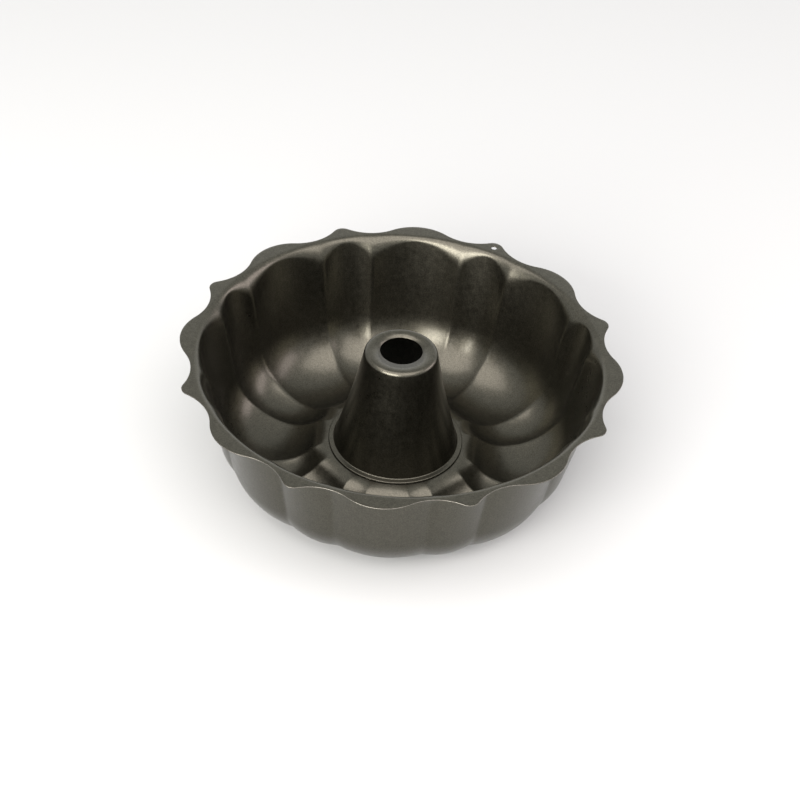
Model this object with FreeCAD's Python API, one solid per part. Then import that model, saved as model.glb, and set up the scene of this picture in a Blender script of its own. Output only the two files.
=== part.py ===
"""Ring cake pan (bundt pan): a fluted shell and a centre tube, pressed from coated steel sheet.

Frame: millimetres, +Z up, origin on the pan's axis at the level it stands on. The hang hole is on the +Y
side. The pan has eight narrow lobes, one on the +X axis, with a wide lobe between each two of them.
"""
import FreeCAD, Part
import math
import os

V = FreeCAD.Vector

# ---------------------------------------------------------------- driving dimensions (mm, degrees)
LOBES = 8                   # narrow lobes round the pan, and as many wide ones

# whole pan
RIM_HEIGHT = 82.0           # top face of the rim above the table
PAN_SHEET = 0.6             # sheet of the fluted shell
LAND_HEIGHT = 15.1          # top face of the flat land round the centre hole

# fluted section (inner face), where the wall carried straight on would reach the level of the rim
LOBE_REACH = 121.7          # axis to the crest of every lobe, which sets the width of the whole pan
CREASE_DEPTH = 4.7          # from the crests in to the sharp crease between two lobes, before it is rounded
CREASE_ANGLE = 8.2          # from a narrow lobe's middle to the crease beside it
CREASE_RADIUS = 3.0         # rounding of the crease in this section

# trough (inner face)
WALL_TAPER = 12.3           # wall from the vertical, in the middle of a wide lobe
FLOOR_RADIUS = 37.6         # rounded floor from its lowest line out to the wall, in the middle of a wide lobe
SHOULDER_SHARE = 0.33       # the rise from the lowest line in to the land is two arcs: the upper one's share
NARROW_RISE = 0.6           # floor of a narrow lobe above that of a wide one
CREASE_RISE = 2.4           # sharp crease on the floor above that of a wide lobe, before it is rounded
CREASE_FLOOR_RADIUS = 7.0   # rounding of the crease where it crosses the floor
LAND_SETBACK = 1.7          # from the outside of the tube's bead in to the flat land's end, at a wide lobe
LAND_SCALLOP = 1.3          # how much further out the land ends for each mm that the floor is raised
TURN_WIDTH = 3.1            # from the crests out to the round line where the flat rim starts to turn down
CREST_TURN_DEPTH = 3.0      # from the rim down to where that turn becomes the wall, at the crest of a lobe
TURN_GROWTH = 2.6           # how much deeper the turn is for each mm that the section lies inside its crests

# rim outline
TIP_WIDTH = 12.5            # from the crests out to the end of the point beyond each narrow lobe
TIP_RADIUS = 6.5
BROW_WIDTH = 12.2           # from the crests out to the middle of the broad edge beyond each wide lobe
BROW_RADIUS = 29.0
DIP_RADIUS = 30.0           # hollow between a point and a broad edge
HANG_HOLE_INSET = 5.4       # from the end of a point in to the middle of the hang hole
HANG_HOLE_DIAMETER = 3.5

# centre tube (outer face)
TUBE_SHEET = 0.5
TUBE_ABOVE_RIM = 3.8        # top of the tube above the rim
VENT_RADIUS = 12.8          # hole in the tube's top
TUBE_TOP_RADIUS = 21.9      # where the side's upper run would meet the top face
TUBE_FOOT_RADIUS = 38.4     # where the side's lower run would meet the bead
TUBE_WAIST = 1.7            # how far the hollow side lies inside a straight cone, at its middle corner
TUBE_CORNER = 3.0           # rounding between the tube's top and side
FOOT_FILLET = 0.8

# lock seam
BEAD_WIDTH = 3.3            # from the tube's foot to the outside of the bead
HAIRPIN_GAP = 0.2           # between the two layers of the folded bead
NECK_INSET = 1.2            # from the tube's foot in to its outer face where it passes through the pan
NECK_CLEARANCE = 0.3        # between the neck and the edge of the pan's hole
NECK_BEND = 0.25            # inner radius of the neck's two bends, where the sheet that they clasp allows it
NECK_BEND_SHARE = 0.45      # most that one of these bends takes of that sheet
CURL_MARGIN = 0.3           # from the end of the curl under the land out to the end of the flat land

# spacing of the points through which the free-form faces pass
CREST_STEPS = 4             # from a narrow lobe's middle to the crease band
CREASE_BAND = 2.4           # half-width in degrees of the band round each crease that is sampled finely
CREASE_STEPS = 8            # across that band
BROW_STEPS = 5              # from the band to a wide lobe's middle
SHOULDER_STEPS = 6
INNER_FLOOR_STEPS = 6
FLOOR_STEPS = 8
WALL_STEPS = 8
TURN_STEPS = 8

HALF_SECTOR = math.pi / LOBES
CREASE_REACH = LOBE_REACH - CREASE_DEPTH
TURN_REACH = LOBE_REACH + TURN_WIDTH
TIP_REACH = LOBE_REACH + TIP_WIDTH
BROW_REACH = LOBE_REACH + BROW_WIDTH
HANG_HOLE_REACH = TIP_REACH - HANG_HOLE_INSET
NECK_RADIUS = TUBE_FOOT_RADIUS - NECK_INSET
HOLE_RADIUS = NECK_RADIUS + NECK_CLEARANCE
BEAD_REACH = TUBE_FOOT_RADIUS + BEAD_WIDTH
LAND_REACH = BEAD_REACH - LAND_SETBACK


# ---------------------------------------------------------------- fluted section
def polar(reach, angle):
    return reach * math.cos(angle), reach * math.sin(angle)


def lobe_circle(reach, crease_reach, half_angle):
    """Circle centred on a lobe's own axis, through its crest and its crease: centre's distance and radius."""
    x, y = polar(crease_reach, half_angle)
    rise = reach - x
    radius = (y * y + rise * rise) / (2 * rise)
    return reach - radius, radius


def outer_meeting(a, reach_a, b, reach_b):
    """Of the two points that lie reach_a from a and reach_b from b, the one further from the axis."""
    dx, dy = b[0] - a[0], b[1] - a[1]
    gap = math.hypot(dx, dy)
    along = (reach_a ** 2 - reach_b ** 2 + gap ** 2) / (2 * gap)
    aside = math.sqrt(reach_a ** 2 - along ** 2)
    foot = (a[0] + dx / gap * along, a[1] + dy / gap * along)
    candidates = [(foot[0] - s * dy / gap * aside, foot[1] + s * dx / gap * aside) for s in (1, -1)]
    return max(candidates, key=lambda p: math.hypot(*p))


def make_section(wide_reach, narrow_reach, crease_reach, crease_radius):
    """Lobed section as a function: angle from a narrow lobe's middle to distance from the axis."""
    crease = math.radians(CREASE_ANGLE)
    narrow_centre, narrow_radius = lobe_circle(narrow_reach, crease_reach, crease)
    wide_centre, wide_radius = lobe_circle(wide_reach, crease_reach, HALF_SECTOR - crease)
    a = (narrow_centre, 0.0)
    b = polar(wide_centre, HALF_SECTOR)
    rounding = outer_meeting(a, narrow_radius + crease_radius, b, wide_radius + crease_radius)

    def touch(centre, radius):
        share = radius / (radius + crease_radius)
        return math.atan2(centre[1] + (rounding[1] - centre[1]) * share,
                          centre[0] + (rounding[0] - centre[0]) * share)

    first, last = touch(a, narrow_radius), touch(b, wide_radius)
    rounding_reach, rounding_angle = math.hypot(*rounding), math.atan2(rounding[1], rounding[0])

    def along_ray(distance, radius, angle, side):
        return distance * math.cos(angle) + side * math.sqrt(radius ** 2 - (distance * math.sin(angle)) ** 2)

    def section(angle):
        folded = abs((angle + HALF_SECTOR) % (2 * HALF_SECTOR) - HALF_SECTOR)
        if folded < first:
            return along_ray(narrow_centre, narrow_radius, folded, 1)
        if folded > last:
            return along_ray(wide_centre, wide_radius, HALF_SECTOR - folded, 1)
        return along_ray(rounding_reach, crease_radius, folded - rounding_angle, -1)

    return section


rim_section = make_section(LOBE_REACH, LOBE_REACH, CREASE_REACH, CREASE_RADIUS)
low_section = make_section(LOBE_REACH, LOBE_REACH - NARROW_RISE, LOBE_REACH - CREASE_RISE,
                           CREASE_FLOOR_RADIUS)


# ---------------------------------------------------------------- upright profile of the trough
TAPER = math.radians(WALL_TAPER)
FLOOR_CENTRE_Z = PAN_SHEET + FLOOR_RADIUS
FLOOR_CENTRE_R = LOBE_REACH - FLOOR_RADIUS / math.cos(TAPER) - (RIM_HEIGHT - FLOOR_CENTRE_Z) * math.tan(TAPER)


def arc_points(centre_r, centre_z, radius, start, end, steps):
    """Points on an arc with the direction of travel at each: (r, z, dr, dz)."""
    turn = 1 if end > start else -1
    points = []
    for k in range(steps + 1):
        a = start + (end - start) * k / steps
        points.append((centre_r + radius * math.cos(a), centre_z + radius * math.sin(a),
                       -turn * math.sin(a), turn * math.cos(a)))
    return points


def straight_points(start, end, steps):
    """Points on a straight run with the direction of travel at each."""
    dr, dz = end[0] - start[0], end[1] - start[1]
    length = math.hypot(dr, dz)
    return [(start[0] + dr * k / steps, start[1] + dz * k / steps, dr / length, dz / length)
            for k in range(steps + 1)]


def turn_points(start, corner, end, weight, steps):
    """Points on an elliptical turn tangent to both legs of a corner, with the direction of travel at each.

    With legs of equal length and the cosine of half the turning angle as weight it is a circular arc.
    """
    points = []
    for k in range(steps + 1):
        t = k / steps
        shares = ((1 - t) ** 2, 2 * weight * t * (1 - t), t ** 2)
        rates = (-2 * (1 - t), 2 * weight * (1 - 2 * t), 2 * t)
        whole, whole_rate = sum(shares), sum(rates)
        r, z = [sum(share * p[i] for share, p in zip(shares, (start, corner, end))) / whole for i in (0, 1)]
        dr, dz = [sum(rate * p[i] for rate, p in zip(rates, (start, corner, end))) for i in (0, 1)]
        dr, dz = dr - whole_rate * r, dz - whole_rate * z
        points.append((r, z, dr / math.hypot(dr, dz), dz / math.hypot(dr, dz)))
    return points


def trough_profile(angle):
    """Inner face along one upright half-plane: the points of shoulder, inner floor, floor, wall and turn."""
    top = rim_section(angle)
    rise = LOBE_REACH - low_section(angle)
    floor_radius = FLOOR_RADIUS - rise

    # wall: aims at the section's point on the rim's level, tangent to the floor's arc
    across, up = top - FLOOR_CENTRE_R, RIM_HEIGHT - FLOOR_CENTRE_Z
    taper = math.acos(floor_radius / math.hypot(across, up)) - math.atan2(up, across)
    wall_low = (FLOOR_CENTRE_R + floor_radius * math.cos(taper),
                FLOOR_CENTRE_Z - floor_radius * math.sin(taper))
    turn_depth = CREST_TURN_DEPTH + TURN_GROWTH * (LOBE_REACH - top)
    wall_high = (top - turn_depth * math.tan(taper), RIM_HEIGHT - turn_depth)

    # from the lowest line in to the land's edge: inner floor and shoulder, arcs that turn back equally far
    land_edge = LAND_REACH + LAND_SCALLOP * rise
    run, drop = FLOOR_CENTRE_R - land_edge, LAND_HEIGHT - PAN_SHEET - rise
    arc_turn = 2 * math.atan2(drop, run)
    shoulder_radius = SHOULDER_SHARE * run / math.sin(arc_turn)
    inner_radius = (1 - SHOULDER_SHARE) * run / math.sin(arc_turn)

    turn_weight = math.cos(math.pi / 4 - taper / 2)
    return (arc_points(land_edge, LAND_HEIGHT - shoulder_radius, shoulder_radius, math.pi / 2,
                       math.pi / 2 - arc_turn, SHOULDER_STEPS),
            arc_points(FLOOR_CENTRE_R, PAN_SHEET + rise + inner_radius, inner_radius, -math.pi / 2 - arc_turn,
                       -math.pi / 2, INNER_FLOOR_STEPS),
            arc_points(FLOOR_CENTRE_R, FLOOR_CENTRE_Z, floor_radius, -math.pi / 2, -taper, FLOOR_STEPS),
            straight_points(wall_low, wall_high, WALL_STEPS),
            turn_points(wall_high, (top, RIM_HEIGHT), (TURN_REACH, RIM_HEIGHT), turn_weight, TURN_STEPS))


def ring_angles():
    """Angles once round the pan, close together near the creases."""
    crease, band = math.radians(CREASE_ANGLE), math.radians(CREASE_BAND)
    stops = [(0.0, crease - band, CREST_STEPS), (crease - band, crease + band, CREASE_STEPS),
             (crease + band, HALF_SECTOR, BROW_STEPS)]
    half = [start + (end - start) * k / steps for start, end, steps in stops for k in range(steps)]
    one = half + [2 * HALF_SECTOR - a for a in [HALF_SECTOR] + half[:0:-1]]
    return [2 * HALF_SECTOR * lobe + a for lobe in range(LOBES) for a in one]


# ---------------------------------------------------------------- free-form faces
def faces_through(rows, angles):
    """Faces through a grid of points, one to a sector: each row is closed round the pan, and the rows follow
    one another."""
    round_knots = angles + [angles[0] + 2 * math.pi]
    row_poles = []
    for row in rows:
        curve = Part.BSplineCurve()
        curve.interpolate(Points=row, PeriodicFlag=True, Parameters=round_knots)
        row_poles.append(curve.getPoles())
    across_knots = [k / (len(rows) - 1) for k in range(len(rows))]
    grid = []
    for poles in zip(*row_poles):
        column = Part.BSplineCurve()
        column.interpolate(Points=list(poles), Parameters=across_knots)
        grid.append(column.getPoles())
    surface = Part.BSplineSurface()
    surface.buildFromPolesMultsKnots(grid, curve.getMultiplicities(), column.getMultiplicities(),
                                     curve.getKnots(), column.getKnots(), True, False,
                                     curve.Degree, column.Degree)
    faces = []
    for lobe in range(LOBES):
        sector = surface.copy()
        sector.segment(2 * HALF_SECTOR * lobe, 2 * HALF_SECTOR * (lobe + 1), 0.0, 1.0)
        faces.append(sector.toShape())
    return faces


def trough_faces(angles):
    """Inner faces and, one sheet outside them, the outer ones: two lists of patches from the shoulder to the
    turn, each patch a list of sectors."""
    profiles = [trough_profile(a) for a in angles]
    round_knots = angles + [angles[0] + 2 * math.pi]
    inner, outer = [], []
    for patch in range(len(profiles[0])):
        inner_rows, outer_rows = [], []
        for k in range(len(profiles[0][patch])):
            ring = [profile[patch][k] for profile in profiles]
            points = [V(r * math.cos(a), r * math.sin(a), z) for a, (r, z, dr, dz) in zip(angles, ring)]
            shifted = []
            closed = Part.BSplineCurve()
            closed.interpolate(Points=points, PeriodicFlag=True, Parameters=round_knots)
            for a, point, (r, z, dr, dz) in zip(angles, points, ring):
                along = V(dr * math.cos(a), dr * math.sin(a), dz)
                normal = closed.tangent(a)[0].cross(along)
                shifted.append(point + normal.normalize() * PAN_SHEET)
            inner_rows.append(points)
            outer_rows.append(shifted)
        inner.append(faces_through(inner_rows, angles))
        outer.append(faces_through(outer_rows, angles))
    return inner, outer


def ring_wire(faces, level):
    """The closed wire that the sectors of a free-form face share with a flat face at a level."""
    def off_level(edge):
        return sum(abs(edge.valueAt(p).z - level) for p in edge.ParameterRange)

    return Part.Wire(Part.__sortEdges__([min(face.Edges, key=off_level) for face in faces]))


# ---------------------------------------------------------------- rim outline
def rim_outline(level):
    """Scalloped outline: a point arc, a hollow arc and a broad crest arc, tangent to one another."""
    tip = (TIP_REACH - TIP_RADIUS, 0.0)
    brow = polar(BROW_REACH - BROW_RADIUS, HALF_SECTOR)
    dip = outer_meeting(tip, TIP_RADIUS + DIP_RADIUS, brow, BROW_RADIUS + DIP_RADIUS)

    def on_circle(centre, radius, towards):
        dx, dy = towards[0] - centre[0], towards[1] - centre[1]
        return centre[0] + radius * dx / math.hypot(dx, dy), centre[1] + radius * dy / math.hypot(dx, dy)

    tip_end = on_circle(tip, TIP_RADIUS, dip)
    brow_end = on_circle(brow, BROW_RADIUS, dip)
    middle = ((tip_end[0] + brow_end[0]) / 2, (tip_end[1] + brow_end[1]) / 2)
    dip_middle = on_circle(dip, DIP_RADIUS, middle)

    def placed(point, mirrored, lobe):
        reach, angle = math.hypot(*point), math.atan2(point[1], point[0])
        x, y = polar(reach, (2 * HALF_SECTOR - angle if mirrored else angle) + 2 * HALF_SECTOR * lobe)
        return V(x, y, level)

    edges = []
    for lobe in range(LOBES):
        tip_start = V(tip_end[0], -tip_end[1], level)
        tip_start = FreeCAD.Rotation(V(0, 0, 1), math.degrees(2 * HALF_SECTOR * lobe)).multVec(tip_start)
        arcs = [(tip_start, placed((TIP_REACH, 0.0), False, lobe), placed(tip_end, False, lobe)),
                [placed(p, False, lobe) for p in (tip_end, dip_middle, brow_end)],
                (placed(brow_end, False, lobe), placed(polar(BROW_REACH, HALF_SECTOR), False, lobe),
                 placed(brow_end, True, lobe)),
                [placed(p, True, lobe) for p in (brow_end, dip_middle, tip_end)]]
        edges += [Part.Arc(*arc).toShape() for arc in arcs]
    return Part.Wire(edges)


# ---------------------------------------------------------------- fluted pan
def round_wire(centre, radius):
    return Part.Wire(Part.Circle(centre, V(0, 0, 1), radius).toShape())


def make_fluted_pan():
    inner, outer = trough_faces(ring_angles())
    down = V(0, 0, -PAN_SHEET)
    outline = rim_outline(RIM_HEIGHT)
    hang = round_wire(V(0, HANG_HOLE_REACH, RIM_HEIGHT), HANG_HOLE_DIAMETER / 2)
    hole = round_wire(V(0, 0, LAND_HEIGHT), HOLE_RADIUS)

    faces = sum(inner + outer, [])
    for shell, drop in ((inner, V(0, 0, 0)), (outer, down)):
        rim_level, land_level = RIM_HEIGHT + drop.z, LAND_HEIGHT + drop.z
        wall_top = ring_wire(shell[-1], rim_level)
        land_edge = ring_wire(shell[0], land_level)
        faces.append(Part.makeFace([outline.translated(drop), wall_top, hang.translated(drop)],
                                   "Part::FaceMakerBullseye"))
        faces.append(Part.makeFace([land_edge, hole.translated(drop)], "Part::FaceMakerBullseye"))
    for wire in (outline, hang, hole):
        faces += wire.extrude(down).Faces

    skin = Part.Compound(faces)
    skin.sewShape(1e-3)
    pan = Part.Solid(skin.Shells[0])
    if pan.Volume < 0:
        pan.reverse()
    return pan


# ---------------------------------------------------------------- centre tube
def bent_strip(corners, sheet):
    """Section of a bent sheet: corners of one face as (r, z, bend radius), the sheet lying to their right.

    The ends have radius 0. Every bend is an arc tangent to the straight runs on either side.
    """
    near, far = [], []
    previous = V(corners[0][0], 0, corners[0][1])
    for (r0, z0, _), (r1, z1, bend), (r2, z2, _) in zip(corners, corners[1:], corners[2:]):
        corner = V(r1, 0, z1)
        before = (corner - V(r0, 0, z0)).normalize()
        after = (V(r2, 0, z2) - corner).normalize()
        turn = before.getAngle(after)
        left_turn = before.z * after.x - before.x * after.z < 0
        reach = bend * math.tan(turn / 2)
        start, end = corner - before * reach, corner + after * reach
        right_before = V(before.z, 0, -before.x)
        right_after = V(after.z, 0, -after.x)
        centre = start + right_before * (-bend if left_turn else bend)
        towards_corner = (corner - centre).normalize()
        far_bend = bend + sheet if left_turn else bend - sheet
        for edges, radius, shift in ((near, bend, 0.0), (far, far_bend, sheet)):
            if (start - previous).Length > 1e-6:
                edges.append(Part.LineSegment(previous + right_before * shift, start + right_before * shift))
            edges.append(Part.Arc(start + right_before * shift, centre + towards_corner * radius,
                                  end + right_after * shift))
        previous = end
    last = V(corners[-1][0], 0, corners[-1][1])
    for edges, shift in ((near, 0.0), (far, sheet)):
        edges.append(Part.LineSegment(previous + right_after * shift, last + right_after * shift))
    ends = [Part.LineSegment(near[0].StartPoint, far[0].StartPoint),
            Part.LineSegment(near[-1].EndPoint, far[-1].EndPoint)]
    return Part.Face(Part.Wire(Part.__sortEdges__([c.toShape() for c in near + far + ends])))


def make_centre_tube():
    top = RIM_HEIGHT + TUBE_ABOVE_RIM
    fold = TUBE_SHEET + HAIRPIN_GAP / 2
    bead_top = LAND_HEIGHT + 2 * fold
    under_land = LAND_HEIGHT - PAN_SHEET
    neck_bend = min(NECK_BEND, NECK_BEND_SHARE * PAN_SHEET)

    # middle corner of the hollow side, and the largest bend that the two runs beside it leave room for
    waist = V((TUBE_TOP_RADIUS + TUBE_FOOT_RADIUS) / 2 - TUBE_WAIST, 0, (top + bead_top) / 2)
    upper = V(TUBE_TOP_RADIUS, 0, top) - waist
    lower = V(TUBE_FOOT_RADIUS, 0, bead_top) - waist
    half_turn = (math.pi - upper.getAngle(lower)) / 2
    waist_bend = (min(upper.Length, lower.Length) - 2 * TUBE_CORNER) / math.tan(half_turn)

    corners = [(VENT_RADIUS, top, 0),
               (TUBE_TOP_RADIUS, top, TUBE_CORNER),
               (waist.x, waist.z, waist_bend),
               (TUBE_FOOT_RADIUS, bead_top, FOOT_FILLET),
               (BEAD_REACH, bead_top, fold),
               (BEAD_REACH, LAND_HEIGHT, fold),
               (NECK_RADIUS, LAND_HEIGHT, neck_bend),
               (NECK_RADIUS, under_land, neck_bend),
               (LAND_REACH - CURL_MARGIN, under_land, 0)]
    return bent_strip(corners, TUBE_SHEET).revolve(V(0, 0, 0), V(0, 0, 1), 360)


# ---------------------------------------------------------------- build
def main():
    os.makedirs("parts", exist_ok=True)
    pieces = {"fluted_pan": make_fluted_pan(), "centre_tube": make_centre_tube()}
    for name, shape in pieces.items():
        box = shape.optimalBoundingBox(True, False)
        print(name, "valid", shape.isValid(), "closed", shape.isClosed(), "solids", len(shape.Solids),
              "volume %.0f mm3" % shape.Volume, "z %.2f to %.2f" % (box.ZMin, box.ZMax),
              "x %.2f to %.2f" % (box.XMin, box.XMax))
        shape.exportStep("parts/%s.step" % name)


main()
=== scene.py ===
# %% [markdown]
# A fluted ring cake pan
#
# The pan is two pressings of thin coated steel. The outer one is the fluted shell: a flat scalloped rim, a
# lobed wall, a rounded trough and a small flat land with a hole in its middle. The other is the centre
# tube, whose foot is folded into a bead and crimped through that hole. This lesson builds both as single
# sheets of metal, from a few sizes, and then gives them the satin non-stick coat that such pans have.
#
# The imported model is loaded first. It fixes where everything is: its boxes give the height of the rim, the
# reach of the rim's points and the height of the tube, and everything below starts from those.

import math

import bmesh
import bpy
import numpy as np
from mathutils import Matrix, Vector


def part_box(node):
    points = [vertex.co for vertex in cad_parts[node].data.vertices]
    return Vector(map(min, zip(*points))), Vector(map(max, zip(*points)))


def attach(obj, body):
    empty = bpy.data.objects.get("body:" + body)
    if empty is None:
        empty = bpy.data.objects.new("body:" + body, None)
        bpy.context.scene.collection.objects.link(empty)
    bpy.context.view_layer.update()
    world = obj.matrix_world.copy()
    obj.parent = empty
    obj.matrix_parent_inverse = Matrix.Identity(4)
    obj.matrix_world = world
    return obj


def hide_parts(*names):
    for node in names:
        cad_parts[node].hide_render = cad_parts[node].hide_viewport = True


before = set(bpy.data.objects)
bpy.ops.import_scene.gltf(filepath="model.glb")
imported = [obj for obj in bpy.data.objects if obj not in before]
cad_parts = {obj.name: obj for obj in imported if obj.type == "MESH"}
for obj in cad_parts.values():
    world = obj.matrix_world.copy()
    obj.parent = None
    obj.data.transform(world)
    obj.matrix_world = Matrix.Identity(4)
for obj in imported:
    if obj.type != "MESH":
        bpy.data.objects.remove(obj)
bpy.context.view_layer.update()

MM = 0.001
pan_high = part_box("fluted_pan")[1]
tube_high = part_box("centre_tube")[1]
rim_top = pan_high[2]
tip_reach = pan_high[0]
tube_top = tube_high[2]
print("rim at %.1f mm, tube top at %.1f mm" % (rim_top / MM, tube_top / MM))
print("points reach %.1f mm" % (tip_reach / MM))

# %% [markdown]
# The lobed section
#
# Seen from above, the wall is a ring of circle arcs: a narrow lobe, a wide lobe, a narrow lobe, and so on,
# eight of each. Two neighbouring arcs meet in a crease that the press tool rounds a little. It could be
# drawn by hand as a curve, but a formula keeps all sixteen lobes alike: for any angle round the pan it says
# how far out the wall is. The same formula serves twice, once for the rim and once, with shallower creases,
# for the floor.

# %% Helpers: where rays and circles meet
def on_ray(centre, radius, angle, side=1):
    """How far out a ray meets a circle whose centre lies at that distance and that angle off the ray."""
    return centre * np.cos(angle) + side * np.sqrt(np.maximum(radius ** 2 - (centre * np.sin(angle)) ** 2, 0))


def outer_meeting(a, reach_a, b, reach_b):
    """The point that lies reach_a from a and reach_b from b, on the side away from the pan's axis."""
    a, b = np.array(a), np.array(b)
    gap = np.linalg.norm(b - a)
    along = (reach_a ** 2 - reach_b ** 2 + gap ** 2) / (2 * gap)
    aside = math.sqrt(reach_a ** 2 - along ** 2)
    forward = (b - a) / gap
    sideways = np.array([-forward[1], forward[0]])
    choices = [a + along * forward + s * aside * sideways for s in (1, -1)]
    return max(choices, key=np.linalg.norm)


def angle_of(point):
    return math.atan2(point[1], point[0])


# %% Lobed section as a formula
LOBES = 8
HALF = math.pi / LOBES
CREASE_ANGLE = math.radians(8.2)


def lobe_circle(reach, crease_reach, half_angle):
    """Circle centred on a lobe's own axis, through its crest and its crease: centre's distance and radius."""
    x, y = crease_reach * math.cos(half_angle), crease_reach * math.sin(half_angle)
    radius = (y * y + (reach - x) ** 2) / (2 * (reach - x))
    return reach - radius, radius


def lobed(angles, wide_reach, narrow_reach, crease_reach, crease_radius):
    """Distance of the sheet from the axis at each angle, measured from the middle of a narrow lobe."""
    narrow_centre, narrow_radius = lobe_circle(narrow_reach, crease_reach, CREASE_ANGLE)
    wide_centre, wide_radius = lobe_circle(wide_reach, crease_reach, HALF - CREASE_ANGLE)
    narrow = np.array([narrow_centre, 0.0])
    wide = wide_centre * np.array([math.cos(HALF), math.sin(HALF)])
    rounding = outer_meeting(narrow, narrow_radius + crease_radius, wide, wide_radius + crease_radius)
    first = angle_of(narrow + (rounding - narrow) * narrow_radius / (narrow_radius + crease_radius))
    last = angle_of(wide + (rounding - wide) * wide_radius / (wide_radius + crease_radius))

    folded = np.abs((angles + HALF) % (2 * HALF) - HALF)
    in_narrow = on_ray(narrow_centre, narrow_radius, folded)
    in_wide = on_ray(wide_centre, wide_radius, HALF - folded)
    in_crease = on_ray(np.linalg.norm(rounding), crease_radius, folded - angle_of(rounding), side=-1)
    return np.where(folded < first, in_narrow, np.where(folded > last, in_wide, in_crease))


# %% The section at the rim and at the floor
COLUMNS_PER_LOBE = 64
LOBE_REACH = 121.7 * MM
CREASE_REACH = 117.0 * MM
CREASE_RADIUS = 3.0 * MM
NARROW_RISE = 0.6 * MM
CREASE_RISE = 2.4 * MM
CREASE_FLOOR_RADIUS = 7.0 * MM

COLUMNS = LOBES * COLUMNS_PER_LOBE
angles = np.arange(COLUMNS) * 2 * math.pi / COLUMNS
rim_reach = lobed(angles, LOBE_REACH, LOBE_REACH, CREASE_REACH, CREASE_RADIUS)
floor_rise = LOBE_REACH - lobed(angles, LOBE_REACH, LOBE_REACH - NARROW_RISE, LOBE_REACH - CREASE_RISE,
                                CREASE_FLOOR_RADIUS)
print("wall at the rim: %.1f to %.1f mm from the axis" % (rim_reach.min() / MM, rim_reach.max() / MM))

# %% [markdown]
# The rim's outline
#
# The rim is a flat flange whose cut edge runs in and out: a small round point beyond each narrow lobe, a
# broad crest beyond each wide one, and a hollow between. Each is one arc, and neighbouring arcs are
# tangent, so the edge has no corner. As the outline never folds back, it too can be given as a distance for
# each angle.

# %% Rim outline as a formula
TIP_RADIUS = 6.5 * MM
BROW_REACH = 133.9 * MM
BROW_RADIUS = 29.0 * MM
DIP_RADIUS = 30.0 * MM

tip_centre = tip_reach - TIP_RADIUS
brow_centre = BROW_REACH - BROW_RADIUS
tip_point = np.array([tip_centre, 0.0])
brow_point = brow_centre * np.array([math.cos(HALF), math.sin(HALF)])
dip_point = outer_meeting(tip_point, TIP_RADIUS + DIP_RADIUS, brow_point, BROW_RADIUS + DIP_RADIUS)
tip_end = tip_point + (dip_point - tip_point) * TIP_RADIUS / (TIP_RADIUS + DIP_RADIUS)
brow_end = brow_point + (dip_point - brow_point) * BROW_RADIUS / (BROW_RADIUS + DIP_RADIUS)

folded = np.abs((angles + HALF) % (2 * HALF) - HALF)
on_tip = on_ray(tip_centre, TIP_RADIUS, folded)
on_brow = on_ray(brow_centre, BROW_RADIUS, HALF - folded)
on_dip = on_ray(np.linalg.norm(dip_point), DIP_RADIUS, folded - angle_of(dip_point), side=-1)
outline = np.where(folded < angle_of(tip_end), on_tip, np.where(folded > angle_of(brow_end), on_brow, on_dip))
print("rim edge: %.1f to %.1f mm from the axis" % (outline.min() / MM, outline.max() / MM))

# %% [markdown]
# From section to sheet
#
# Cut the shell upright through its axis and one side of the cut is a chain: flat land, a shoulder arc, the
# inner arc of the floor, its bigger outer arc, the straight tapered wall, an elliptical turn, and the flat
# rim. Each stretch is tangent to the next. Every column of the mesh is this chain with its own sizes: in a
# crease the floor lies higher, the wall stands further in and the turn is deeper, which makes the creases
# fan out as they reach the rim. Sculpting or lofting could give the same form, but a grid from a formula
# keeps the rows in step round the pan, so the surface has no pinches, and each size can be changed by
# itself.

# %% Sizes of the chain in each column
SHEET = 0.6 * MM
TAPER = math.radians(12.3)
FLOOR_RADIUS = 37.6 * MM
SHOULDER_SHARE = 0.33
LAND_SCALLOP = 1.3
LAND_HEIGHT = 15.1 * MM
FLAT_LAND = 40.0 * MM
CREST_TURN = 3.0 * MM
TURN_GROWTH = 2.6

floor_z = SHEET + FLOOR_RADIUS
floor_r = LOBE_REACH - FLOOR_RADIUS / math.cos(TAPER) - (rim_top - floor_z) * math.tan(TAPER)
floor_radius = FLOOR_RADIUS - floor_rise
across, up = rim_reach - floor_r, rim_top - floor_z
taper = np.arccos(floor_radius / np.hypot(across, up)) - np.arctan2(up, across)
turn_depth = CREST_TURN + TURN_GROWTH * (LOBE_REACH - rim_reach)

# the shoulder and the inner floor turn back equally far, and share out the run and the drop between them
land_edge = FLAT_LAND + LAND_SCALLOP * floor_rise
run, drop = floor_r - land_edge, LAND_HEIGHT - SHEET - floor_rise
arc_turn = 2 * np.arctan2(drop, run)
shoulder_radius = SHOULDER_SHARE * run / np.sin(arc_turn)
inner_radius = (1 - SHOULDER_SHARE) * run / np.sin(arc_turn)
print("floor arc about %.1f mm, lowest line at %.1f mm" % (floor_radius.mean() / MM, floor_r / MM))


# %% Helpers: rows along an arc, a straight run and a turn
def arc(centre_r, centre_z, radius, start, end, steps):
    """Rows along an arc, from start towards end, without the last one."""
    rows = []
    for share in np.arange(steps) / steps:
        a = start + (end - start) * share
        rows.append((centre_r + radius * np.cos(a), centre_z + radius * np.sin(a)))
    return rows


def straight(r0, z0, r1, z1, steps, last=False):
    """Rows along a straight run, without the last one unless asked for."""
    return [(r0 + (r1 - r0) * share, z0 + (z1 - z0) * share) for share in np.arange(steps + last) / steps]


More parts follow.
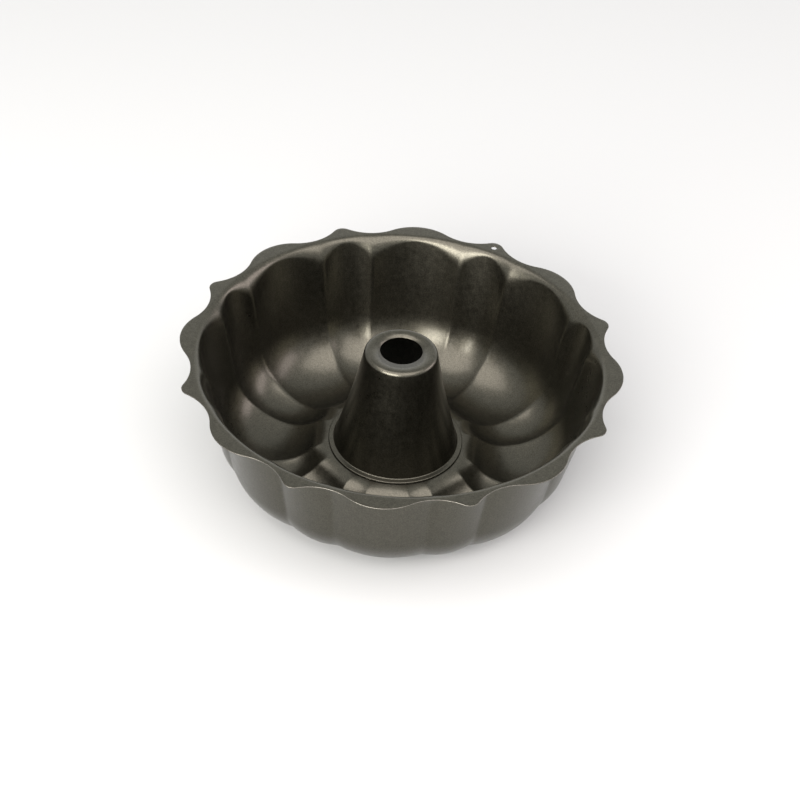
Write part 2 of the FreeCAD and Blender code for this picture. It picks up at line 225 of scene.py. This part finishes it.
def elliptical_turn(start, corner, end, weight, steps):
    """Rows along a turn tangent to both legs of a corner, without the last one."""
    rows = []
    for share in np.arange(steps) / steps:
        first, middle, last = (1 - share) ** 2, 2 * weight * share * (1 - share), share ** 2
        row = [first * start[k] + middle * corner[k] + last * end[k] for k in (0, 1)]
        rows.append([place / (first + middle + last) for place in row])
    return rows


# %% The shell's inner face as a grid of points
HOLE_RADIUS = 37.5 * MM
FLAT_RIM = 124.8 * MM
LAND_ROWS = 2
SHOULDER_ROWS = 12
INNER_FLOOR_ROWS = 12
FLOOR_ROWS = 20
WALL_ROWS = 10
TURN_ROWS = 12
RIM_ROWS = 5

STRAIGHT_DOWN = -math.pi / 2
STRAIGHT_UP = math.pi / 2
floor_end = (floor_r + floor_radius * np.cos(taper), floor_z - floor_radius * np.sin(taper))
turn_start = (rim_reach - turn_depth * np.tan(taper), rim_top - turn_depth)

rows = straight(HOLE_RADIUS, LAND_HEIGHT, land_edge, LAND_HEIGHT, LAND_ROWS)
rows += arc(land_edge, LAND_HEIGHT - shoulder_radius, shoulder_radius,
            STRAIGHT_UP, STRAIGHT_UP - arc_turn, SHOULDER_ROWS)
rows += arc(floor_r, SHEET + floor_rise + inner_radius, inner_radius,
            STRAIGHT_DOWN - arc_turn, STRAIGHT_DOWN, INNER_FLOOR_ROWS)
rows += arc(floor_r, floor_z, floor_radius, STRAIGHT_DOWN, -taper, FLOOR_ROWS)
rows += straight(*floor_end, *turn_start, WALL_ROWS)
rows += elliptical_turn(turn_start, (rim_reach, rim_top), (FLAT_RIM, rim_top),
                        np.cos(math.pi / 4 - taper / 2), TURN_ROWS)
rows += straight(FLAT_RIM, rim_top, outline, rim_top, RIM_ROWS, last=True)
print("%d rows of %d points" % (len(rows), COLUMNS))

# %% [markdown]
# Sheet metal from a single face
#
# The grid is only the face that the cake touches. A pressing has the same thickness everywhere, so the
# Solidify modifier is the natural tool: it moves a copy of the face one sheet outwards along the normals
# and closes the cut edges. A small Bevel then breaks the sharp cut edges, which is what makes them catch a
# thin line of light, and it puts its faces in a material slot of their own, for the worn edge.


# %% Helpers: mesh from a grid, and modifiers made permanent
def linked_object(name, mesh):
    """Object in the scene from a bmesh, which is used up."""
    data = bpy.data.meshes.new(name)
    mesh.to_mesh(data)
    mesh.free()
    obj = bpy.data.objects.new(name, data)
    bpy.context.scene.collection.objects.link(obj)
    return obj


def grid_object(name, rows, close_rows=False):
    """Mesh object from rows of (r, z) that are closed round the axis."""
    mesh = bmesh.new()
    rings = []
    for r, z in rows:
        r, z = np.broadcast_to(r, angles.shape), np.broadcast_to(z, angles.shape)
        rings.append([mesh.verts.new((ri * math.cos(a), ri * math.sin(a), zi))
                      for a, ri, zi in zip(angles, r, z)])
    if close_rows:
        rings.append(rings[0])
    for low, high in zip(rings, rings[1:]):
        for k in range(COLUMNS):
            n = (k + 1) % COLUMNS
            mesh.faces.new((low[k], low[n], high[n], high[k]))
    bmesh.ops.recalc_face_normals(mesh, faces=mesh.faces)
    return linked_object(name, mesh)


def make_permanent(obj):
    """Replace an object's mesh by what its modifiers make of it."""
    depsgraph = bpy.context.evaluated_depsgraph_get()
    finished = bpy.data.meshes.new_from_object(obj.evaluated_get(depsgraph))
    obj.modifiers.clear()
    obj.data = finished


# %% The shell
EDGE_BREAK = 0.15 * MM
EDGE_BREAK_STEPS = 2
EDGE_BREAK_ANGLE = math.radians(60)
COAT_SLOT = 0
WORN_SLOT = 1

shell = grid_object("fluted_shell", rows)
if shell.data.polygons[0].normal.z < 0:
    shell.data.flip_normals()
for slot_number in (COAT_SLOT, WORN_SLOT):
    shell.data.materials.append(None)

solidify = shell.modifiers.new("sheet", "SOLIDIFY")
solidify.thickness = SHEET
solidify.offset = -1
solidify.use_even_offset = True

edge_break = shell.modifiers.new("edge_break", "BEVEL")
edge_break.width = EDGE_BREAK
edge_break.segments = EDGE_BREAK_STEPS
edge_break.limit_method = "ANGLE"
edge_break.angle_limit = EDGE_BREAK_ANGLE
edge_break.material = WORN_SLOT
make_permanent(shell)
print("fluted_shell:", len(shell.data.polygons), "faces")

# %% [markdown]
# The hang hole
#
# One point of the rim is punched so that the pan can hang from a hook. A punched hole is a clean cut
# straight through, so a Boolean difference with a round peg is the plainest way to make it.

# %% Punch the hang hole
HANG_HOLE_REACH = 128.8 * MM
HANG_HOLE_RADIUS = 1.75 * MM
PEG_SIDES = 48
PEG_LENGTH = 8 * SHEET

peg_mesh = bmesh.new()
bmesh.ops.create_cone(peg_mesh, segments=PEG_SIDES, cap_ends=True, radius1=HANG_HOLE_RADIUS,
                      radius2=HANG_HOLE_RADIUS, depth=PEG_LENGTH,
                      matrix=Matrix.Translation((0, HANG_HOLE_REACH, rim_top)))
peg = linked_object("peg", peg_mesh)

punch = shell.modifiers.new("punch", "BOOLEAN")
punch.operation = "DIFFERENCE"
punch.object = peg
make_permanent(shell)
bpy.data.objects.remove(peg)
print("after the punch:", len(shell.data.polygons), "faces")

# %% [markdown]
# The centre tube
#
# The tube is a turned shape, so only its section has to be drawn: the sheet starts at the vent, turns down
# over a rounded corner, flares outwards in a shallow hollow to its foot, lies flat on the land, folds back
# under itself to make the bead, drops through the pan's hole and curls out beneath. Listed as corners with
# a bend radius each, that is nine short lines, which is also how a press shop would dimension it.

# %% Helpers: a bent strip from its corners
FEWEST_STEPS = 6
STEPS_PER_RADIAN = 6
LONGEST_STEP = 2.5 * MM


def bend_turn(before, corner, after):
    """How far the strip turns at a corner, and to which side: positive to the left."""
    a, b = np.subtract(corner, before), np.subtract(after, corner)
    return math.atan2(a[0] * b[1] - a[1] * b[0], a[0] * b[0] + a[1] * b[1])


def arc_steps(turn, bend):
    """Enough steps for a smooth bend, and a few more where the bend is long."""
    return max(FEWEST_STEPS, int(turn * STEPS_PER_RADIAN), int(turn * bend / LONGEST_STEP))


def strip_faces(corners, sheet):
    """Points along the outer face of a bent strip, and the matching points one sheet to the right of it."""
    near, far = [], []

    def add(point, right):
        near.append(tuple(point))
        far.append(tuple(point + right * sheet))

    def add_end(point, start, end):
        along = (end - start) / np.linalg.norm(end - start)
        add(point, np.array([along[1], -along[0]]))

    points = [np.array(c[:2]) for c in corners]
    bends = [c[2] for c in corners]
    add_end(points[0], points[0], points[1])
    for before, corner, after, bend in zip(points, points[1:], points[2:], bends[1:]):
        turn = bend_turn(before, corner, after)
        side = 1 if turn > 0 else -1
        along = (corner - before) / np.linalg.norm(corner - before)
        inward = np.array([-along[1], along[0]]) * side
        centre = corner - along * bend * math.tan(abs(turn) / 2) + inward * bend
        for share in np.linspace(0, 1, arc_steps(abs(turn), bend) + 1):
            a = turn * share
            spoke = -inward * math.cos(a) - np.array([-inward[1], inward[0]]) * math.sin(a)
            add(centre + spoke * bend, spoke * side)
    add_end(points[-1], points[-2], points[-1])
    return near, far


# %% Section of the tube as a bent strip
TUBE_SHEET = 0.5 * MM
VENT_RADIUS = 12.8 * MM
TUBE_TOP_RADIUS = 21.9 * MM
TUBE_FOOT_RADIUS = 38.4 * MM
TUBE_WAIST = 1.7 * MM
TUBE_CORNER = 3.0 * MM
FOOT_FILLET = 0.8 * MM
BEAD_WIDTH = 3.3 * MM
HAIRPIN_GAP = 0.2 * MM
NECK_RADIUS = 37.2 * MM
NECK_BEND = 0.25 * MM
CURL_MARGIN = 0.3 * MM

fold = TUBE_SHEET + HAIRPIN_GAP / 2
bead_top = LAND_HEIGHT + 2 * fold
bead_edge = TUBE_FOOT_RADIUS + BEAD_WIDTH
under_land = LAND_HEIGHT - SHEET

# the hollow side bends as gently as its two straight runs leave room for
top_corner, foot_corner = np.array([TUBE_TOP_RADIUS, tube_top]), np.array([TUBE_FOOT_RADIUS, bead_top])
waist = (top_corner + foot_corner) / 2 - np.array([TUBE_WAIST, 0.0])
waist_turn = abs(bend_turn(top_corner, waist, foot_corner))
waist_run = min(np.linalg.norm(top_corner - waist), np.linalg.norm(foot_corner - waist)) - 2 * TUBE_CORNER
waist_bend = waist_run / math.tan(waist_turn / 2)

corners = [(VENT_RADIUS, tube_top, 0),
           (TUBE_TOP_RADIUS, tube_top, TUBE_CORNER),
           (waist[0], waist[1], waist_bend),
           (TUBE_FOOT_RADIUS, bead_top, FOOT_FILLET),
           (bead_edge, bead_top, fold),
           (bead_edge, LAND_HEIGHT, fold),
           (NECK_RADIUS, LAND_HEIGHT, NECK_BEND),
           (NECK_RADIUS, under_land, NECK_BEND),
           (FLAT_LAND - CURL_MARGIN, under_land, 0)]
near, far = strip_faces(corners, TUBE_SHEET)
tube = grid_object("centre_tube_sheet", near + far[::-1], close_rows=True)
print("centre_tube_sheet:", len(tube.data.polygons), "faces")

# %% [markdown]
# Smooth or faceted
#
# Both meshes are fine enough for the light to glide over them, but each quad is still flat. Smooth shading
# blends the normals between quads. The shell's cut edges stay crisp because the small bevel gives them
# faces of their own.

# %% Smooth shading
for obj in (shell, tube):
    for face in obj.data.polygons:
        face.use_smooth = True
print("smooth:", shell.name, tube.name)

# %% [markdown]
# The coat
#
# Non-stick bakeware is sprayed with a dark polymer that holds fine metal flake. It is neither paint nor
# bare metal: it gives broad soft highlights, with a tiny sparkle where single flakes face the light, and it
# wears lighter along the cut edges. A plain dark paint would look like plastic, and plain steel would
# mirror the room, so the coat is made as a dark tinted metal of medium roughness under a thin clear film.
# Noise of three sizes does the rest: flakes of under a millimetre, a mottling of a few millimetres, and a
# slow drift. Long faint marks run down the walls, where the sheet slid over the press tool.

# %% Helpers: a material's nodes
NOISE_LOW = 0.3
NOISE_HIGH = 0.7

# a Mix node has sockets for values, vectors and colours, and these are the numbers of the colour ones
COLOUR_A = 6
COLOUR_B = 7
COLOUR_RESULT = 2


class NodeTable:
    """A material and short ways to add nodes to it."""

    def __init__(self, name):
        self.material = bpy.data.materials.new(name)
        self.material.use_nodes = True
        self.tree = self.material.node_tree
        self.shader = self.tree.nodes["Principled BSDF"]

    def add(self, kind, **inputs):
        """New node with numbers on its named sockets."""
        node = self.tree.nodes.new("ShaderNode" + kind)
        for socket, value in inputs.items():
            node.inputs[socket].default_value = value
        return node

    def link(self, output, socket):
        self.tree.links.new(output, socket)

    def noise(self, place, scale, detail, roughness):
        """Noise of one size, as a value."""
        texture = self.add("TexNoise", Scale=scale, Detail=detail, Roughness=roughness)
        self.link(place, texture.inputs["Vector"])
        return texture.outputs["Fac"]

    def spread(self, noise, low, high):
        """Noise stretched to run from low to high."""
        ranged = self.add("MapRange")
        ranged.inputs["From Min"].default_value = NOISE_LOW
        ranged.inputs["From Max"].default_value = NOISE_HIGH
        ranged.inputs["To Min"].default_value = low
        ranged.inputs["To Max"].default_value = high
        self.link(noise, ranged.inputs["Value"])
        return ranged.outputs["Result"]

    def times(self, colour, share):
        """A colour, given or from a socket, made lighter or darker by a value."""
        mix = self.add("Mix")
        mix.data_type = "RGBA"
        mix.blend_type = "MULTIPLY"
        mix.inputs["Factor"].default_value = 1.0
        if isinstance(colour, tuple):
            mix.inputs[COLOUR_A].default_value = colour
        else:
            self.link(colour, mix.inputs[COLOUR_A])
        self.link(share, mix.inputs[COLOUR_B])
        return mix.outputs[COLOUR_RESULT]

    def bump(self, height, strength, distance, normal=None):
        """Surface normal bumped by a value, on top of an earlier bump if there is one."""
        raised = self.add("Bump", Strength=strength, Distance=distance)
        self.link(height, raised.inputs["Height"])
        if normal:
            self.link(normal, raised.inputs["Normal"])
        return raised.outputs["Normal"]


# %% Helper: drawing marks
MARKS_UPRIGHT = 4.0
MARKS = {"scale": 1.0, "detail": 3.0, "roughness": 0.6}


def drawing_marks(table, place, marks_round):
    """Noise that is long down the wall and narrow round the pan."""
    split = table.add("SeparateXYZ")
    table.link(place, split.inputs[0])
    turn = table.add("Math")
    turn.operation = "ARCTAN2"
    table.link(split.outputs["Y"], turn.inputs[0])
    table.link(split.outputs["X"], turn.inputs[1])
    rolled = table.add("CombineXYZ")
    table.link(turn.outputs[0], rolled.inputs["X"])
    table.link(split.outputs["Z"], rolled.inputs["Z"])
    stretched = table.add("VectorMath")
    stretched.operation = "MULTIPLY"
    stretched.inputs[1].default_value = (marks_round, 0.0, MARKS_UPRIGHT)
    table.link(rolled.outputs[0], stretched.inputs[0])
    return table.noise(stretched.outputs[0], **MARKS)


# %% Coated steel
FILM_WEIGHT = 0.12
FILM_ROUGHNESS = 0.16
FLAKES = {"scale": 1300.0, "detail": 3.0, "roughness": 0.7}
MOTTLE = {"scale": 300.0, "detail": 3.0, "roughness": 0.6}
DRIFT = {"scale": 14.0, "detail": 2.0, "roughness": 0.5}
GRAIN = {"strength": 0.06, "distance": 0.2 * MM}
ORANGE_PEEL = {"strength": 0.05, "distance": 0.6 * MM}
FLAKE_CONTRAST = (0.68, 1.32)
MOTTLE_CONTRAST = (0.93, 1.07)
MARK_CONTRAST = (0.95, 1.05)
ROUGHNESS = (0.28, 0.34)
ROUGHNESS_DRIFT = (-0.02, 0.02)


def coated_steel(name, tint, marks_round):
    """Satin flake coat: a tinted metal that is roughened, mottled and speckled by noise of three sizes."""
    table = NodeTable(name)
    shader = table.shader
    shader.inputs["Metallic"].default_value = 1.0
    shader.inputs["Coat Weight"].default_value = FILM_WEIGHT
    shader.inputs["Coat Roughness"].default_value = FILM_ROUGHNESS

    place = table.add("TexCoord").outputs["Object"]
    flakes = table.noise(place, **FLAKES)
    mottle = table.noise(place, **MOTTLE)
    drift = table.noise(place, **DRIFT)
    marks = drawing_marks(table, place, marks_round)

    speckled = table.times((*tint, 1.0), table.spread(flakes, *FLAKE_CONTRAST))
    mottled = table.times(speckled, table.spread(mottle, *MOTTLE_CONTRAST))
    marked = table.times(mottled, table.spread(marks, *MARK_CONTRAST))
    table.link(marked, shader.inputs["Base Color"])

    rough = table.add("Math")
    rough.operation = "ADD"
    table.link(table.spread(mottle, *ROUGHNESS), rough.inputs[0])
    table.link(table.spread(drift, *ROUGHNESS_DRIFT), rough.inputs[1])
    table.link(rough.outputs[0], shader.inputs["Roughness"])

    grained = table.bump(flakes, **GRAIN)
    peeled = table.bump(mottle, **ORANGE_PEEL, normal=grained)
    table.link(peeled, shader.inputs["Normal"])
    return table.material


# %% Give the meshes their coats
COAT_TINT = (0.077, 0.0735, 0.0575)
WORN_TINT = (0.19, 0.18, 0.155)
SHELL_MARKS_ROUND = 90.0
TUBE_MARKS_ROUND = 60.0

shell.data.materials[COAT_SLOT] = coated_steel("shell_coat", COAT_TINT, SHELL_MARKS_ROUND)
shell.data.materials[WORN_SLOT] = coated_steel("worn_edge", WORN_TINT, SHELL_MARKS_ROUND)
tube.data.materials.append(coated_steel("tube_coat", COAT_TINT, TUBE_MARKS_ROUND))
print("coats:", [material.name for material in (*shell.data.materials, *tube.data.materials)])

# %% [markdown]
# What each mesh stands for
#
# The imported model stays in charge of where things are. Each new mesh rides on the pan's one body and
# hides the plain solid that it stands for.

# %% Say what the new meshes stand for
for obj, node, slot in ((shell, "fluted_pan", "pan_coating"), (tube, "centre_tube", "tube_coating")):
    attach(obj, "root")
    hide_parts(node)
    print(obj.name, "stands for", node)

# %% [markdown]
# The floor
#
# A satin pan shows little but what it mirrors, and its outer wall mirrors the floor. So the floor is a
# plain pale sheet, light enough to look white, and just dark enough to leave the wall its own dark tone.

# %% Floor
FLOOR_HALF_WIDTH = 3.0
FLOOR_COLOUR = (0.425, 0.437, 0.43, 1)
FLOOR_ROUGHNESS = 0.9

floor_mesh = bmesh.new()
bmesh.ops.create_grid(floor_mesh, x_segments=1, y_segments=1, size=FLOOR_HALF_WIDTH)
floor = linked_object("floor", floor_mesh)
pale = NodeTable("pale_floor")
pale.shader.inputs["Base Color"].default_value = FLOOR_COLOUR
pale.shader.inputs["Roughness"].default_value = FLOOR_ROUGHNESS
floor.data.materials.append(pale.material)
print("floor: %.0f m wide" % floor.dimensions.x)

# %% [markdown]
# The light
#
# Rounded metal needs large soft lights, because each lamp shows as a highlight of its own shape. One bright
# box in front, to the left, draws the streaks on the far wall and on the tube's rounding. A wide canopy
# overhead fills the trough, a faintly rosy box on the right opens the left wall, and a dim one behind lifts
# the rim. A spot lamp would give hard little glints instead, and an even white room would leave the lobes
# flat.

# %% The room
ROOM_STRENGTH = 0.92

world = bpy.data.worlds.new("soft_white_room")
world.use_nodes = True
world.node_tree.nodes["Background"].inputs["Color"].default_value = (1, 1, 1, 1)
world.node_tree.nodes["Background"].inputs["Strength"].default_value = ROOM_STRENGTH
bpy.context.scene.world = world
bpy.context.scene.view_settings.view_transform = "Standard"
print("room strength", ROOM_STRENGTH)


# %% Soft boxes
CAMERA_AZIMUTH = math.radians(25.38)


def soft_box(name, side, up, distance, size, radiance, tint=(1, 1, 1)):
    """Light that faces the pan, some degrees to the camera's right and some degrees up from the floor."""
    light = bpy.data.lights.new(name, "AREA")
    light.shape = "RECTANGLE"
    light.size, light.size_y = size
    light.energy = radiance * math.pi * (size[0] * size[1])
    light.color = tint
    azimuth = CAMERA_AZIMUTH - math.pi / 2 + math.radians(side)
    level, rise = math.cos(math.radians(up)), math.sin(math.radians(up))
    away = Vector((math.cos(azimuth) * level, math.sin(azimuth) * level, rise))
    obj = bpy.data.objects.new(name, light)
    obj.location = away * distance
    obj.rotation_euler = (-away).to_track_quat("-Z", "Y").to_euler()
    bpy.context.scene.collection.objects.link(obj)
    print("%s: %.0f W" % (name, light.energy))


soft_box("key", side=-26, up=28, distance=1.6, size=(1.2, 0.8), radiance=13.0, tint=(1.0, 0.96, 0.94))
soft_box("canopy", side=-5, up=67, distance=1.6, size=(2.8, 1.7), radiance=3.0, tint=(1.0, 0.93, 0.94))
soft_box("side_right", side=98, up=24, distance=1.8, size=(1.2, 0.8), radiance=3.2, tint=(1.0, 0.87, 0.95))
soft_box("back_wall", side=180, up=18, distance=2.1, size=(3.2, 1.5), radiance=0.45)

# %% [markdown]
# The camera
#
# A pan is best seen from above and a little to one side, so that the rim, the trough, the tube and some of
# the outer wall all show. The camera stands more than a metre off with a long lens, which keeps the round
# rim from looking stretched, and it is rolled slightly, as one held by hand would be.

# %% Camera
CAMERA_HEIGHT_ANGLE = math.radians(39.21)
CAMERA_DISTANCE = 1.1636
CAMERA_LENS = 87.14
CAMERA_SENSOR = 36.0
CAMERA_ROLL = math.radians(3.93)
CAMERA_TILT = math.radians(-1.312)
CAMERA_TURN = math.radians(0.031)

target = Vector((0, 0, rim_top))
direction = Vector((math.sin(CAMERA_AZIMUTH) * math.cos(CAMERA_HEIGHT_ANGLE),
                    -math.cos(CAMERA_AZIMUTH) * math.cos(CAMERA_HEIGHT_ANGLE),
                    math.sin(CAMERA_HEIGHT_ANGLE)))
camera_data = bpy.data.cameras.new("camera")
camera_data.lens = CAMERA_LENS
camera_data.sensor_width = CAMERA_SENSOR
camera = bpy.data.objects.new("camera", camera_data)
bpy.context.scene.collection.objects.link(camera)
facing = (-direction).to_track_quat("-Z", "Y").to_matrix()
facing = facing @ Matrix.Rotation(CAMERA_ROLL, 3, "Z")
facing = facing @ Matrix.Rotation(CAMERA_TILT, 3, "X") @ Matrix.Rotation(CAMERA_TURN, 3, "Y")
camera.matrix_world = Matrix.Translation(target + direction * CAMERA_DISTANCE) @ facing.to_4x4()
bpy.context.scene.camera = camera
print("camera %.2f m from the pan, lens %.0f mm" % (CAMERA_DISTANCE, CAMERA_LENS))
